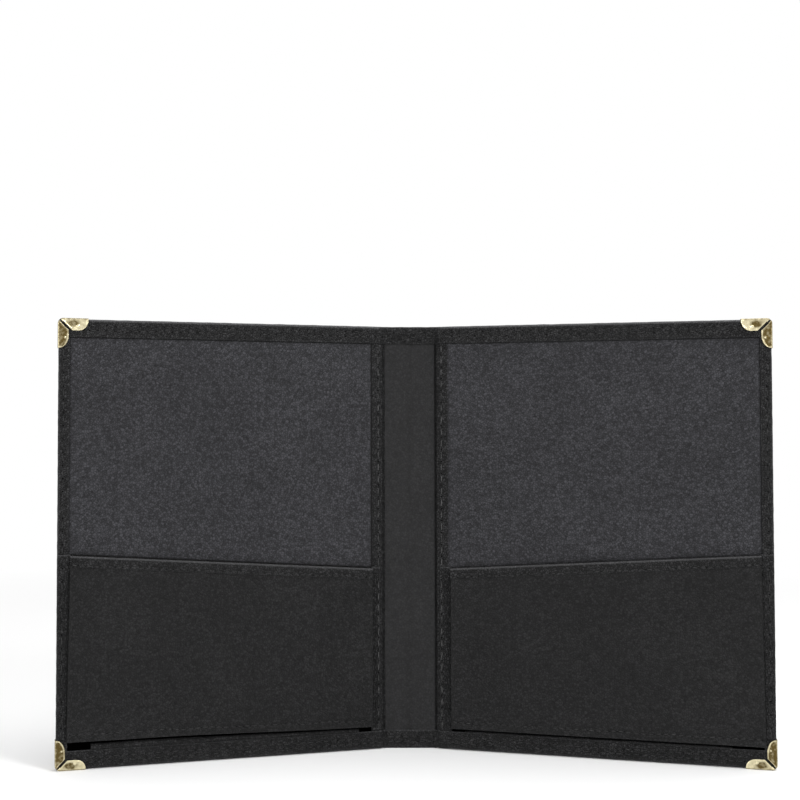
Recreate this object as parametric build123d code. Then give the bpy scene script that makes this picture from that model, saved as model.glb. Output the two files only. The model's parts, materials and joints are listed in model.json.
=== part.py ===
from build123d import *
import os

# A sewn two-pocket folder, standing open on its lower edges like a book.
# Millimetres. +Z runs up the spine, the inside of the folder faces -Y, and the origin is the middle of
# the spine's bottom face. The two hinge lines run up the middle of the outer skin, where the covers fold.
# One leaf is drawn flat on the +X side: x is the distance from its hinge line, depth is positive towards the
# inside, z is the height. It is then placed beside the spine, and mirrored for the front cover.

# ---- driving sizes -------------------------------------------------------------------------------------
LEAF_WIDTH = 234.0        # hinge line to the brass on the outer edge
LEAF_HEIGHT = 308.0       # brass to brass
SPINE_WIDTH = 39.0        # between the two hinge lines
REST_ANGLE = 14.5         # each leaf leans this far forward of flat

BOARD_THICK = 2.2
PANEL_THICK = 1.0
LINING_THICK = 0.6
BINDING_THICK = 0.8
BRASS_THICK = 0.6
POCKET_THICK = 0.9
HEM_THICK = 0.6
THREAD_THICK = 0.25
THREAD_WIDE = 0.7

TOP_BINDING = 13.0        # height of the folded strip on each face
BOTTOM_BINDING = 13.2
SIDE_BINDING = 8.2
HINGE_STRIP = 9.0         # sewn strip beside the spine, measured from the hinge line
LEAF_CLEAR = 2.5          # hinge line to the leaf's board and inner layers
LEAF_SKIN_CLEAR = 0.8     # hinge line to the leaf's outer skin
SPINE_CLEAR = 0.9         # hinge line to the spine's inner layers
SPINE_SKIN_CLEAR = 0.3    # hinge line to the spine's outer skin
CORNER_RADIUS = 3.0

# ---- depths through a leaf, from the hinge line, positive towards the inside -----------------------------
PANEL_OUT = -PANEL_THICK / 2
BOARD_OUT = PANEL_THICK / 2
BOARD_IN = BOARD_OUT + BOARD_THICK
LINING_IN = BOARD_IN + LINING_THICK
BINDING_IN = LINING_IN + BINDING_THICK
BINDING_OUT = PANEL_OUT - BINDING_THICK
BRASS_IN = BINDING_IN + BRASS_THICK
BRASS_OUT = BINDING_OUT - BRASS_THICK

# ---- edges of a leaf -----------------------------------------------------------------------------------
BOUND_X = LEAF_WIDTH - BRASS_THICK
BOUND_LOW = BRASS_THICK
BOUND_HIGH = LEAF_HEIGHT - BRASS_THICK
BODY_X = BOUND_X - BINDING_THICK
BODY_LOW = BOUND_LOW + BINDING_THICK
BODY_HIGH = BOUND_HIGH - BINDING_THICK
TOP_FLANGE_LOW = LEAF_HEIGHT - TOP_BINDING
SIDE_FLANGE_X = LEAF_WIDTH - SIDE_BINDING

# ---- spine layers --------------------------------------------------------------------------------------
SPINE_LINING_THICK = 0.8
SPINE_LINING_IN = BOARD_OUT + SPINE_LINING_THICK
SPINE_BINDING_IN = SPINE_LINING_IN + BINDING_THICK
SPINE_EDGE = SPINE_WIDTH / 2 - SPINE_CLEAR
SPINE_SKIN_EDGE = SPINE_WIDTH / 2 - SPINE_SKIN_CLEAR

# ---- brass corners -------------------------------------------------------------------------------------
BRASS_LEG = 19.5
BRASS_WING_SIDE = 6.6
BRASS_WING_END = 7.2
BRASS_CHAMFER = 2.6
MITRE_GAP = 1.0
DIMPLE_RADIUS = 0.9
DIMPLE_RISE = 0.3
DIMPLE_AT = 0.55          # along a wing, as a share of the leg

# ---- pockets -------------------------------------------------------------------------------------------
POCKET_SPACE = 3.0        # between the lining and the pocket front
POCKET_BACK = LINING_IN + POCKET_SPACE
POCKET_FRONT = POCKET_BACK + POCKET_THICK
MOUTH_OUTER = 145.5       # height of the mouth at the outer end
MOUTH_INNER = 131.0       # height of the mouth at the hinge end
POCKET_OUTER_LOW = 226.6  # outer end of the pocket front, at its foot
POCKET_OUTER_HIGH = 224.8 # and at its mouth
HEM_TALL = 7.6
GUSSET_THICK = 0.6
WALL_THICK = 1.0
WALL_IN = POCKET_BACK - 0.3
WALL_SETBACK = 0.5
MOUTH_DROP = 3.0          # the side walls stop this far below the mouth
PLEAT_GAP = 1.2
PLEAT_IN = POCKET_BACK - 0.4
PLEAT_INSET_INNER = 10.0
PLEAT_INSET_OUTER = 20.0
FLANGE_FOOT = 21.0        # the side gussets start above the brass corner
POCKET_FOOT = {"front": 17.0, "back": 15.6}
POCKET_INNER = {"front": 9.6, "back": 11.4}

# ---- seam lines ----------------------------------------------------------------------------------------
BINDING_ROWS = (4.8, 8.2) # down from the top edge, and up from the bottom edge
SIDE_ROW = 4.0            # in from the outer edge
HINGE_ROW = 4.6           # out from the hinge line
HEM_ROW = HEM_TALL - 1.2
FOOT_ROW = 5.0            # up from the pocket's foot
SEAM_END = BRASS_LEG + 1.5
THREAD_MARGIN = 0.5       # a thread stops this far short of an edge


def block(x, depth, z):
    """A box from (low, high) ranges, in the flat leaf's own measure."""
    solid = Box(x[1] - x[0], depth[1] - depth[0], z[1] - z[0])
    centre = ((x[0] + x[1]) / 2, -(depth[0] + depth[1]) / 2, (z[0] + z[1]) / 2)
    return Pos(*centre) * solid


def plate(outline, depth):
    """A flat plate with a given (x, z) outline, between two depths."""
    face = make_face(Polyline(*[(x, 0, z) for x, z in outline], close=True))
    return Pos(0, -depth[0], 0) * extrude(face, amount=depth[1] - depth[0], dir=(0, -1, 0))


def rounded(solid, x, heights, radius):
    """Round the outer corners of a leaf layer, where they stand at one of the given heights."""
    corners = [
        edge
        for edge in solid.edges().filter_by(Axis.Y)
        if abs(edge.center().X - x) < 0.01 and min(abs(edge.center().Z - z) for z in heights) < 0.01
    ]
    return fillet(corners, radius)


def leaf_layer(x_start, depth):
    """A sheet that fills the leaf inside its bindings, from x_start to the outer edge."""
    sheet = block((x_start, BODY_X), depth, (BODY_LOW, BODY_HIGH))
    return rounded(sheet, BODY_X, (BODY_LOW, BODY_HIGH), CORNER_RADIUS - BINDING_THICK)


def hinge_strip(x_start, depth):
    return block((x_start, HINGE_STRIP), depth, (BODY_LOW, BODY_HIGH))


def end_binding(low, high, edge):
    """The strip folded over the top or bottom of a leaf; edge is the height of its fold."""
    strip = block((LEAF_CLEAR, BOUND_X), (BINDING_OUT, BINDING_IN), (low, high))
    strip = rounded(strip, BOUND_X, (edge,), CORNER_RADIUS)
    strip += block((LEAF_SKIN_CLEAR, LEAF_CLEAR), (BINDING_OUT, BOARD_OUT), (low, high))
    leaf = block((0, BODY_X), (PANEL_OUT, LINING_IN), (BODY_LOW, BODY_HIGH))
    return strip - rounded(leaf, BODY_X, (BODY_LOW, BODY_HIGH), CORNER_RADIUS - BINDING_THICK)


def side_binding():
    strip = block((SIDE_FLANGE_X, BOUND_X), (BINDING_OUT, BINDING_IN), (BOTTOM_BINDING, TOP_FLANGE_LOW))
    return strip - block((0, BODY_X), (PANEL_OUT, LINING_IN), (0, LEAF_HEIGHT))


def dimple(x, z):
    dome = Pos(x, -BRASS_IN, z) * Rot(90, 0, 0) * Cone(DIMPLE_RADIUS, DIMPLE_RADIUS / 2, DIMPLE_RISE)
    return Pos(0, -DIMPLE_RISE / 2, 0) * dome


def top_corner():
    """Pressed brass corner: a triangle outside, a wall round both edges, and two crimped wings inside."""
    start = LEAF_WIDTH - BRASS_LEG
    foot = LEAF_HEIGHT - BRASS_LEG
    wing_x = LEAF_WIDTH - BRASS_WING_SIDE
    wing_z = LEAF_HEIGHT - BRASS_WING_END
    shell = block((start, LEAF_WIDTH), (BRASS_OUT, BRASS_IN), (foot, LEAF_HEIGHT))
    shell = rounded(shell, LEAF_WIDTH, (LEAF_HEIGHT,), CORNER_RADIUS + BRASS_THICK)
    hollow = block((0, BOUND_X), (BINDING_OUT, BINDING_IN), (0, BOUND_HIGH))
    shell -= rounded(hollow, BOUND_X, (BOUND_HIGH,), CORNER_RADIUS)
    past = (start - 1, foot - 1)
    beyond_slope = [past, (BOUND_X, past[1]), (BOUND_X, foot), (start, BOUND_HIGH), (past[0], BOUND_HIGH)]
    shell -= plate(beyond_slope, (BRASS_OUT - 1, BINDING_OUT))
    inside = (BINDING_IN, BRASS_IN + 1)
    shell -= block((past[0], wing_x), inside, (past[1], wing_z))
    for x, z in ((start, wing_z), (wing_x, foot)):
        shell -= plate([(x, z), (x + BRASS_CHAMFER, z), (x, z + BRASS_CHAMFER)], inside)
    slot = Pos(wing_x, -(BINDING_IN + BRASS_THICK), wing_z) * Rot(0, -45, 0)
    shell -= slot * Box(3 * BRASS_WING_END, 2 * BRASS_THICK, MITRE_GAP)
    middle = BRASS_LEG * DIMPLE_AT
    shell += dimple(LEAF_WIDTH - BRASS_WING_SIDE / 2, LEAF_HEIGHT - middle)
    shell += dimple(LEAF_WIDTH - middle, LEAF_HEIGHT - BRASS_WING_END / 2)
    return shell


def bottom_corner():
    return Pos(0, 0, LEAF_HEIGHT) * mirror(top_corner(), about=Plane.XY)


def mouth_height(cover, x):
    """Height of the pocket's slanted mouth at x."""
    run = (x - POCKET_INNER[cover]) / (POCKET_OUTER_HIGH - POCKET_INNER[cover])
    return MOUTH_INNER + (MOUTH_OUTER - MOUTH_INNER) * run


def slanted_strip(cover, below_top, below_low):
    """Outline of a strip of the pocket front that follows its mouth, between two distances below it."""
    ends = (POCKET_INNER[cover], POCKET_OUTER_HIGH)
    upper = [(x, mouth_height(cover, x) - below_top) for x in ends]
    lower = [(x, mouth_height(cover, x) - below_low) for x in reversed(ends)]
    return upper + lower


def pocket_panel(cover):
    foot = POCKET_FOOT[cover]
    outline = [
        (POCKET_INNER[cover], foot),
        (POCKET_OUTER_LOW, foot),
        (POCKET_OUTER_HIGH, MOUTH_OUTER),
        (POCKET_INNER[cover], MOUTH_INNER),
    ]
    return plate(outline, (POCKET_BACK, POCKET_FRONT))


def pocket_hem(cover):
    return plate(slanted_strip(cover, 0, HEM_TALL), (POCKET_FRONT, POCKET_FRONT + HEM_THICK))


def pocket_thread(cover):
    on_hem = POCKET_FRONT + HEM_THICK
    row = slanted_strip(cover, HEM_ROW - THREAD_WIDE / 2, HEM_ROW + THREAD_WIDE / 2)
    foot = POCKET_FOOT[cover] + FOOT_ROW
    low = block(
        (POCKET_INNER[cover] + 1, POCKET_OUTER_HIGH - 1),
        (POCKET_FRONT, POCKET_FRONT + THREAD_THICK),
        (foot - THREAD_WIDE / 2, foot + THREAD_WIDE / 2),
    )
    return [plate(row, (on_hem, on_hem + THREAD_THICK)), low]


def bottom_gusset(cover):
    """The pleat that closes the pocket's foot, folded flat behind the pocket front."""
    x = (POCKET_INNER[cover] + PLEAT_INSET_INNER, POCKET_OUTER_HIGH - PLEAT_INSET_OUTER)
    return block(x, (LINING_IN, PLEAT_IN), (BOTTOM_BINDING, POCKET_FOOT[cover] - PLEAT_GAP))


def outer_gusset(cover):
    """A wall behind the pocket's outer end, and the flange that is sewn over the side binding."""
    wall_x = POCKET_OUTER_HIGH - WALL_SETBACK
    wall_top = mouth_height(cover, wall_x - WALL_THICK) - MOUTH_DROP
    flange_in = BINDING_IN + GUSSET_THICK
    wall = block((wall_x - WALL_THICK, wall_x), (LINING_IN, WALL_IN), (FLANGE_FOOT, wall_top))
    return wall + block((wall_x, BOUND_X), (BINDING_IN, flange_in), (FLANGE_FOOT, MOUTH_OUTER))


def inner_gusset(cover):
    """A wall behind the pocket's hinge end, and the flange that is sewn over the hinge strip."""
    wall_x = POCKET_INNER[cover] + WALL_SETBACK
    wall_top = mouth_height(cover, wall_x) - MOUTH_DROP
    flange_in = LINING_IN + GUSSET_THICK
    wall = block((wall_x, wall_x + WALL_THICK), (LINING_IN, WALL_IN), (FLANGE_FOOT, wall_top))
    return wall + block((LEAF_CLEAR, wall_x), (LINING_IN, flange_in), (BOTTOM_BINDING, MOUTH_INNER))


def upright_thread(x, surface, z, side):
    """A seam running up the leaf, laid on a surface; side is +1 inside and -1 outside."""
    depth = sorted((surface, surface + side * THREAD_THICK))
    return block((x - THREAD_WIDE / 2, x + THREAD_WIDE / 2), depth, z)


def level_thread(x, surface, z, side):
    """A seam running along the leaf, laid on a surface; side is +1 inside and -1 outside."""
    depth = sorted((surface, surface + side * THREAD_THICK))
    return block(x, depth, (z - THREAD_WIDE / 2, z + THREAD_WIDE / 2))


def cover_threads():
    side_x = LEAF_WIDTH - SIDE_ROW
    level_x = (LEAF_CLEAR + THREAD_MARGIN, LEAF_WIDTH - SEAM_END)
    above = MOUTH_OUTER + THREAD_MARGIN
    below = (FLANGE_FOOT + THREAD_MARGIN, MOUTH_OUTER - THREAD_MARGIN)
    strip_above = (MOUTH_INNER + THREAD_MARGIN, TOP_FLANGE_LOW - THREAD_MARGIN)
    strip_below = (BOTTOM_BINDING + THREAD_MARGIN, MOUTH_INNER - THREAD_MARGIN)
    strip_outside = (BOTTOM_BINDING + THREAD_MARGIN, TOP_FLANGE_LOW - THREAD_MARGIN)
    threads = [
        upright_thread(side_x, BINDING_IN, (above, LEAF_HEIGHT - SEAM_END), 1),
        upright_thread(side_x, BINDING_IN + GUSSET_THICK, below, 1),
        upright_thread(side_x, BINDING_OUT, (SEAM_END, LEAF_HEIGHT - SEAM_END), -1),
        upright_thread(HINGE_ROW, LINING_IN, strip_above, 1),
        upright_thread(HINGE_ROW, LINING_IN + GUSSET_THICK, strip_below, 1),
        upright_thread(HINGE_ROW, PANEL_OUT, strip_outside, -1),
    ]
    for row in BINDING_ROWS:
        for z in (row, LEAF_HEIGHT - row):
            threads.append(level_thread(level_x, BINDING_IN, z, 1))
            threads.append(level_thread(level_x, BINDING_OUT, z, -1))
    return threads


def spine_layer(edge, depth, z):
    return block((-edge, edge), depth, z)


def spine_binding(low, high, fold):
    """The strip folded over one end of the spine; fold is the range of heights that the fold itself takes."""
    tall = (min(low, fold[0]), max(high, fold[1]))
    strip = spine_layer(SPINE_EDGE, (BINDING_OUT, SPINE_BINDING_IN), tall)
    strip += spine_layer(SPINE_SKIN_EDGE, (BINDING_OUT, BOARD_OUT), tall)
    return strip - spine_layer(SPINE_WIDTH, (PANEL_OUT, SPINE_LINING_IN), (low, high))


def spine_threads():
    x = (THREAD_MARGIN - SPINE_EDGE, SPINE_EDGE - THREAD_MARGIN)
    threads = []
    for row in BINDING_ROWS:
        for z in (row, LEAF_HEIGHT - row):
            threads.append(level_thread(x, SPINE_BINDING_IN, z, 1))
            threads.append(level_thread(x, BINDING_OUT, z, -1))
    return threads


def cover_pieces(cover):
    return {
        "board": [leaf_layer(LEAF_CLEAR, (BOARD_OUT, BOARD_IN))],
        "outer_panel": [leaf_layer(HINGE_STRIP, (PANEL_OUT, BOARD_OUT))],
        "lining": [leaf_layer(HINGE_STRIP, (BOARD_IN, LINING_IN))],
        "outer_hinge_strip": [hinge_strip(LEAF_SKIN_CLEAR, (PANEL_OUT, BOARD_OUT))],
        "inner_hinge_strip": [hinge_strip(LEAF_CLEAR, (BOARD_IN, LINING_IN))],
        "top_binding": [end_binding(TOP_FLANGE_LOW, BOUND_HIGH, BOUND_HIGH)],
        "bottom_binding": [end_binding(BOUND_LOW, BOTTOM_BINDING, BOUND_LOW)],
        "side_binding": [side_binding()],
        "top_corner": [top_corner()],
        "bottom_corner": [bottom_corner()],
        "seam_thread": cover_threads(),
        "pocket_bottom_gusset": [bottom_gusset(cover)],
        "pocket_outer_gusset": [outer_gusset(cover)],
        "pocket_inner_gusset": [inner_gusset(cover)],
        "pocket_panel": [pocket_panel(cover)],
        "pocket_hem": [pocket_hem(cover)],
        "pocket_thread": pocket_thread(cover),
    }


def spine_pieces():
    body = (BINDING_THICK, BODY_HIGH)
    return {
        "spine_cover": [spine_layer(SPINE_SKIN_EDGE, (PANEL_OUT, BOARD_OUT), body)],
        "spine_lining": [spine_layer(SPINE_EDGE, (BOARD_OUT, SPINE_LINING_IN), body)],
        "spine_top_binding": [spine_binding(TOP_FLANGE_LOW, BODY_HIGH, (BODY_HIGH, BOUND_HIGH))],
        "spine_bottom_binding": [spine_binding(BINDING_THICK, BOTTOM_BINDING, (0, BINDING_THICK))],
        "spine_thread": spine_threads(),
    }


def in_place(solid, cover):
    """Stand a flat leaf's piece beside the spine at the resting angle, on its own side."""
    placed = Pos(SPINE_WIDTH / 2, 0, 0) * Rot(0, 0, -REST_ANGLE) * solid
    return mirror(placed, about=Plane.YZ) if cover == "front" else placed


def write(name, solids):
    group = solids[0] if len(solids) == 1 else Compound(children=solids)
    group.label = name
    export_step(group, os.path.join("parts", name + ".step"))


os.makedirs("parts", exist_ok=True)
for name, solids in spine_pieces().items():
    write(name, solids)
for cover in ("front", "back"):
    for name, solids in cover_pieces(cover).items():
        write(cover + "_" + name, [in_place(solid, cover) for solid in solids])
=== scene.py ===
import json
import math

import bmesh
import bpy
import numpy as np
from mathutils import Matrix, Vector


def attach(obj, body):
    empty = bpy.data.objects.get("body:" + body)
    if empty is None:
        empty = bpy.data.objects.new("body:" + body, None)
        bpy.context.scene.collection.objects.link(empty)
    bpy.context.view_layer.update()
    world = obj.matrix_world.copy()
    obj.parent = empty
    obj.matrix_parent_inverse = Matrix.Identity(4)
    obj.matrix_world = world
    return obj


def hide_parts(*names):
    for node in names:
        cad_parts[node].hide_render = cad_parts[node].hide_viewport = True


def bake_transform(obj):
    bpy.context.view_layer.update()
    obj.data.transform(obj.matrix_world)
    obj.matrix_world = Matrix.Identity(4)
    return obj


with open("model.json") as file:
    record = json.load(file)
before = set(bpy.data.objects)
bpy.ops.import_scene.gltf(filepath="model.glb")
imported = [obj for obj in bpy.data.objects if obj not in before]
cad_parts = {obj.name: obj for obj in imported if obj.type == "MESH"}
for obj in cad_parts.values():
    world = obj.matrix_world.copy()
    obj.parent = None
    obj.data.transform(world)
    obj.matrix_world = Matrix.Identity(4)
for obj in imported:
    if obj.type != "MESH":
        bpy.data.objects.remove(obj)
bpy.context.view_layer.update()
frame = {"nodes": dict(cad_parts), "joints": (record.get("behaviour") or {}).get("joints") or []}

# A sewn two-pocket folder, standing open like a book, in the sewing room's own terms.
# Millimetres. A leaf is cut and sewn flat: x runs out from its hinge line, depth is positive towards the
# inside of the folder, z is the height. It is then stood beside the spine at its resting angle.

MM = 0.001
INSIDE = 1
OUTSIDE = -1

# ---- sizes taken from the model ----
joints = {joint["name"]: joint for joint in frame["joints"]}
half_spine = joints["back_hinge"]["pos_m"][0] / MM
fold_line = joints["back_pocket_mouth"]["axis"]
resting_angle = math.atan2(-fold_line[1], fold_line[0])

FLAT = Matrix.Diagonal((MM, -MM, MM, 1))
BACK_PLACE = Matrix.Translation((half_spine * MM, 0, 0)) @ Matrix.Rotation(-resting_angle, 4, "Z") @ FLAT
PLACES = {"spine": FLAT, "back": BACK_PLACE, "front": Matrix.Scale(-1, 4, (1, 0, 0)) @ BACK_PLACE}


def flat_box(part, side="back"):
    """Lowest and highest corner of a part in its own flat measure: x, depth and z, in millimetres."""
    to_flat = PLACES[side].inverted()
    corners = np.array([to_flat @ v.co for v in frame["nodes"][side + "_" + part].data.vertices])
    return Vector(corners.min(0)), Vector(corners.max(0))


top_low, top_high = flat_box("top_binding")
bottom_low, bottom_high = flat_box("bottom_binding")
brass_high = flat_box("top_corner")[1]
side_low = flat_box("side_binding")[0]
strip_low, strip_high = flat_box("inner_hinge_strip")
skin_low = flat_box("outer_hinge_strip")[0]
spine_high = flat_box("lining", "spine")[1]
fold_low, fold_high = flat_box("bottom_binding", "spine")
band_depth = fold_high.y

leaf_width = brass_high.x
leaf_height = brass_high.z
bound_x = top_high.x
bound_top = top_high.z
bound_bottom = bottom_low.z
band_top = top_low.z          # lower edge of the band along the top
band_bottom = bottom_high.z   # upper edge of the band along the bottom
side_edge = side_low.x        # inner edge of the band along the side
band_in = top_high.y
band_out = top_low.y
lining_in = strip_high.y
skin_out = skin_low.y
strip_edge = strip_high.x     # where the strips beside the spine end
strip_start = skin_low.x
board_start = strip_low.x
spine_in = spine_high.y
spine_edge = spine_high.x

# ---- sizes of the sewing and the soft shapes ----
BAND_THICK = 0.7
BAND_BEND = 1.15              # radius of its fold over the board
LEAF_ROUND = 3.0              # radius of the leaf's corners
STRIP_LIFT = 0.12             # the inner strip stands on the lining
BAND_ROWS = (4.8, 8.2)        # seam rows, in from the folder's top and bottom edge
SIDE_ROW = 4.0                # in from the outer edge
STRIP_ROW = 4.6               # out from the hinge line
HEM_ROW = 6.4                 # below the pocket's mouth
FOOT_ROW = 5.0                # above the pocket's foot
BAND_PITCH = 5.7
STRIP_PITCH = 8.5
SIDE_PITCH_IN = 8.8
SIDE_PITCH_OUT = 4.2
POCKET_PITCH = 5.0
BRASS_LEG = 20.6
BRASS_THICK = 0.6
BLEND_SPINE = -1.4            # up to here a skin keeps with the spine
BLEND_LEAF = 3.0              # and from here with the leaf
GUTTER = {"front": (-1.7, 1.6), "back": (-0.8, 0.9)}   # the strip rises out of the fold between these two


# ---- small tools ----
RIM_STEPS = np.array([0, 0.04, 0.14, 0.3, 0.5, 0.74])
WAVES = 16                    # sines in one ripple
FLANGE_STEPS = 24             # along each face of a folded strip
SHARP_EDGE = math.radians(48)


def ruler(low, high, step, rim=0.0):
    """Values from low to high about a step apart, and closer together within a rim of both ends."""
    count = max(2, int(round((high - low - 2 * rim) / step)) + 1)
    middle = np.linspace(low + rim, high - rim, count)
    if not rim:
        return middle
    near = rim * RIM_STEPS
    return np.concatenate([low + near, middle, (high - near)[::-1]])


def roll(distance, radius):
    """How far a rounded edge has fallen at a distance in from it."""
    inside = np.clip(radius - distance, 0, radius)
    return radius - np.sqrt(np.maximum(radius ** 2 - inside ** 2, 0))


def ease(value, low, high):
    """0 below low, 1 above high and a smooth step between."""
    share = np.clip((value - low) / (high - low), 0, 1)
    return share * share * (3 - 2 * share)


def crevice(distance, black, clear):
    """How much light is lost at a distance from a covered edge: all within black, none beyond clear."""
    return 1 - ease(distance, black, clear)


def ripple(u, v, size, seed):
    """A smooth random swell over (u, v), mostly between -1 and 1, with bumps about a size across."""
    draw = np.random.default_rng(seed)
    total = np.zeros(np.broadcast(u, v).shape)
    for _ in range(WAVES):
        angle = draw.uniform(0, 2 * math.pi)
        pace = math.pi / (size * draw.uniform(0.6, 1.7))
        total += np.sin(pace * (u * math.cos(angle) + v * math.sin(angle)) + draw.uniform(0, 2 * math.pi))
    return total / math.sqrt(WAVES)


def seam_dip(across, along, row, pitch, deep=0.2, wide=0.75):
    """How far the cover is pulled down beside a seam row, a little less between the stitches."""
    pulled = 0.72 + 0.28 * np.cos(2 * math.pi * along / pitch)
    return deep * pulled * np.exp(-(((across - row) / wide) ** 2))


def in_scene(name, data):
    """A new object, linked into the scene."""
    made = bpy.data.objects.new(name, data)
    bpy.context.scene.collection.objects.link(made)
    return made


def finish_mesh(name, mesh, side, material):
    """Turn flat millimetres into a placed object with closed, outward faces and one material."""
    mesh.transform(PLACES[side])
    work = bmesh.new()
    work.from_mesh(mesh)
    bmesh.ops.recalc_face_normals(work, faces=work.faces)
    work.to_mesh(mesh)
    work.free()
    mesh.materials.append(material)
    mesh.polygons.foreach_set("use_smooth", [True] * len(mesh.polygons))
    mesh.set_sharp_from_angle(angle=SHARP_EDGE)
    piece = in_scene(name, mesh)
    return piece


def shell(name, side, face, back, material, wear_and_highlight=None, painted_shade=None):
    """A closed thin piece between two grids of (x, depth, z) points. The first mark says where its face is
    rubbed and where a highlight is painted on it. The second says where shade is painted because no light
    gets in."""
    rows, columns = face.shape[:2]
    count = rows * columns
    points = np.concatenate([face.reshape(-1, 3), back.reshape(-1, 3)])
    index = np.arange(count).reshape(rows, columns)
    a, b, c, d = index[:-1, :-1], index[:-1, 1:], index[1:, 1:], index[1:, :-1]
    quads = np.stack([a, b, c, d], -1).reshape(-1, 4)
    faces = [quads, quads[:, ::-1] + count]
    rim = np.concatenate([index[0, :], index[1:, -1], index[-1, -2::-1], index[-2:0:-1, 0]])
    after = np.roll(rim, -1)
    faces.append(np.stack([after, rim, rim + count, after + count], -1))
    mesh = bpy.data.meshes.new(name)
    mesh.from_pydata(points.tolist(), [], np.concatenate(faces).tolist())
    for label, amount in (("wear_and_highlight", wear_and_highlight), ("painted_shade", painted_shade)):
        values = np.zeros(2 * count, np.float32)
        if amount is not None:
            values[:count] = np.clip(np.broadcast_to(amount, (rows, columns)), 0, 1).ravel()
        mesh.attributes.new(label, "FLOAT", "POINT").data.foreach_set("value", values)
    return finish_mesh(name, mesh, side, material)


def grid(x, depth, z):
    """An (x, depth, z) grid from arrays that broadcast together."""
    return np.stack(np.broadcast_arrays(x, depth, z), -1).astype(float)


def fold_section(tall_in, tall_out, inside, outside, radius, thick):
    """Section of a strip folded over an edge, from its free edge inside, round the fold, to the one outside.
    Gives distance in from the fold and depth for both faces, and which way the outer face looks."""
    unit = ruler(0, 1, 1 / FLANGE_STEPS, 0.05)
    flange_in = (radius + (tall_in - radius) * unit)[::-1]
    flange_out = radius + (tall_out - radius) * unit
    turn = np.linspace(0, math.pi / 2, 7)[1:-1]
    across = np.linspace(inside - radius, outside + radius, 7)
    distance = np.concatenate([
        flange_in, radius * (1 - np.sin(turn)), 0 * across, radius * (1 - np.cos(turn)), flange_out])
    depth = np.concatenate([
        0 * flange_in + inside, inside - radius * (1 - np.cos(turn)), across,
        outside + radius * (1 - np.sin(turn)), 0 * flange_out + outside])
    look_out = np.concatenate([
        0 * flange_in, -np.sin(turn), 0 * across - 1, -np.cos(turn), 0 * flange_out])
    look_depth = np.concatenate([
        0 * flange_in + 1, np.cos(turn), 0 * across, -np.sin(turn), 0 * flange_out - 1])
    face = np.stack([distance, depth], -1)
    look = np.stack([look_out, look_depth], -1)
    free = np.full(len(distance), 99.0)
    free[:len(flange_in)] = tall_in - flange_in
    free[-len(flange_out):] = tall_out - flange_out
    return face, face - thick * look, look, free


# ---- finishes ----
def add(tree, kind, settings=None, inputs=None):
    """A new node with its settings, and its inputs set to values or linked to other nodes' outputs."""
    made = tree.nodes.new(kind)
    for name, value in (settings or {}).items():
        setattr(made, name, value)
    for name, value in (inputs or {}).items():
        if isinstance(value, bpy.types.NodeSocket):
            tree.links.new(value, made.inputs[name])
        else:
            made.inputs[name].default_value = value
    return made


def blank_material(name):
    material = bpy.data.materials.new(name)
    material.use_nodes = True
    material.node_tree.nodes.clear()
    return material, material.node_tree


def maths(tree, operation, first, second):
    return add(tree, "ShaderNodeMath", {"operation": operation}, {0: first, 1: second}).outputs[0]


def spread(tree, value, low, high, to_low=0.0, to_high=1.0):
    """Stretch a value's range from low..high to another range, and hold it there."""
    return add(tree, "ShaderNodeMapRange", None, {
        "Value": value, "From Min": low, "From Max": high, "To Min": to_low, "To Max": to_high}).outputs[0]


def mixed(tree, share, first, second):
    """A colour between two colours."""
    node = add(tree, "ShaderNodeMix", {"data_type": "RGBA"})
    for socket, value in ((node.inputs[0], share), (node.inputs[6], first), (node.inputs[7], second)):
        if isinstance(value, bpy.types.NodeSocket):
            tree.links.new(value, socket)
        else:
            socket.default_value = value
    return node.outputs[2]


def grey(value, blue=1.0):
    return (value, value, value * blue, 1.0)


def object_place(tree):
    return add(tree, "ShaderNodeTexCoord").outputs["Object"]


def noise(tree, place, scale, detail=2.0):
    node = add(tree, "ShaderNodeTexNoise", None, {"Vector": place, "Scale": scale, "Detail": detail})
    return node.outputs["Fac"]


def painted(tree, label):
    """What is painted on a piece's points under a label: rubbing with painted highlight, or painted shade."""
    return add(tree, "ShaderNodeAttribute", {"attribute_name": label}).outputs["Fac"]


def bumped(tree, height, strength, distance):
    return add(tree, "ShaderNodeBump", None, {
        "Strength": strength, "Distance": distance, "Height": height}).outputs[0]


def surface(tree, inputs):
    """End a material with one plain shader."""
    shader = add(tree, "ShaderNodeBsdfPrincipled", None, inputs)
    add(tree, "ShaderNodeOutputMaterial", None, {"Surface": shader.outputs[0]})


def crease_lines(tree, place, slope, seed):
    """Long thin wandering lines that run down at a slope (degrees)."""
    turned = add(tree, "ShaderNodeMapping", {"vector_type": "TEXTURE"}, {
        "Vector": place, "Location": (seed, seed, seed), "Rotation": (0, math.radians(slope), 0),
        "Scale": (1, 1, 0.17)}).outputs[0]
    wave = noise(tree, turned, 27.0, 1.5)
    off = maths(tree, "ABSOLUTE", maths(tree, "SUBTRACT", wave, 0.5), 0.0)
    return spread(tree, off, 0.0, 0.014, 1.0, 0.0)


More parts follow.
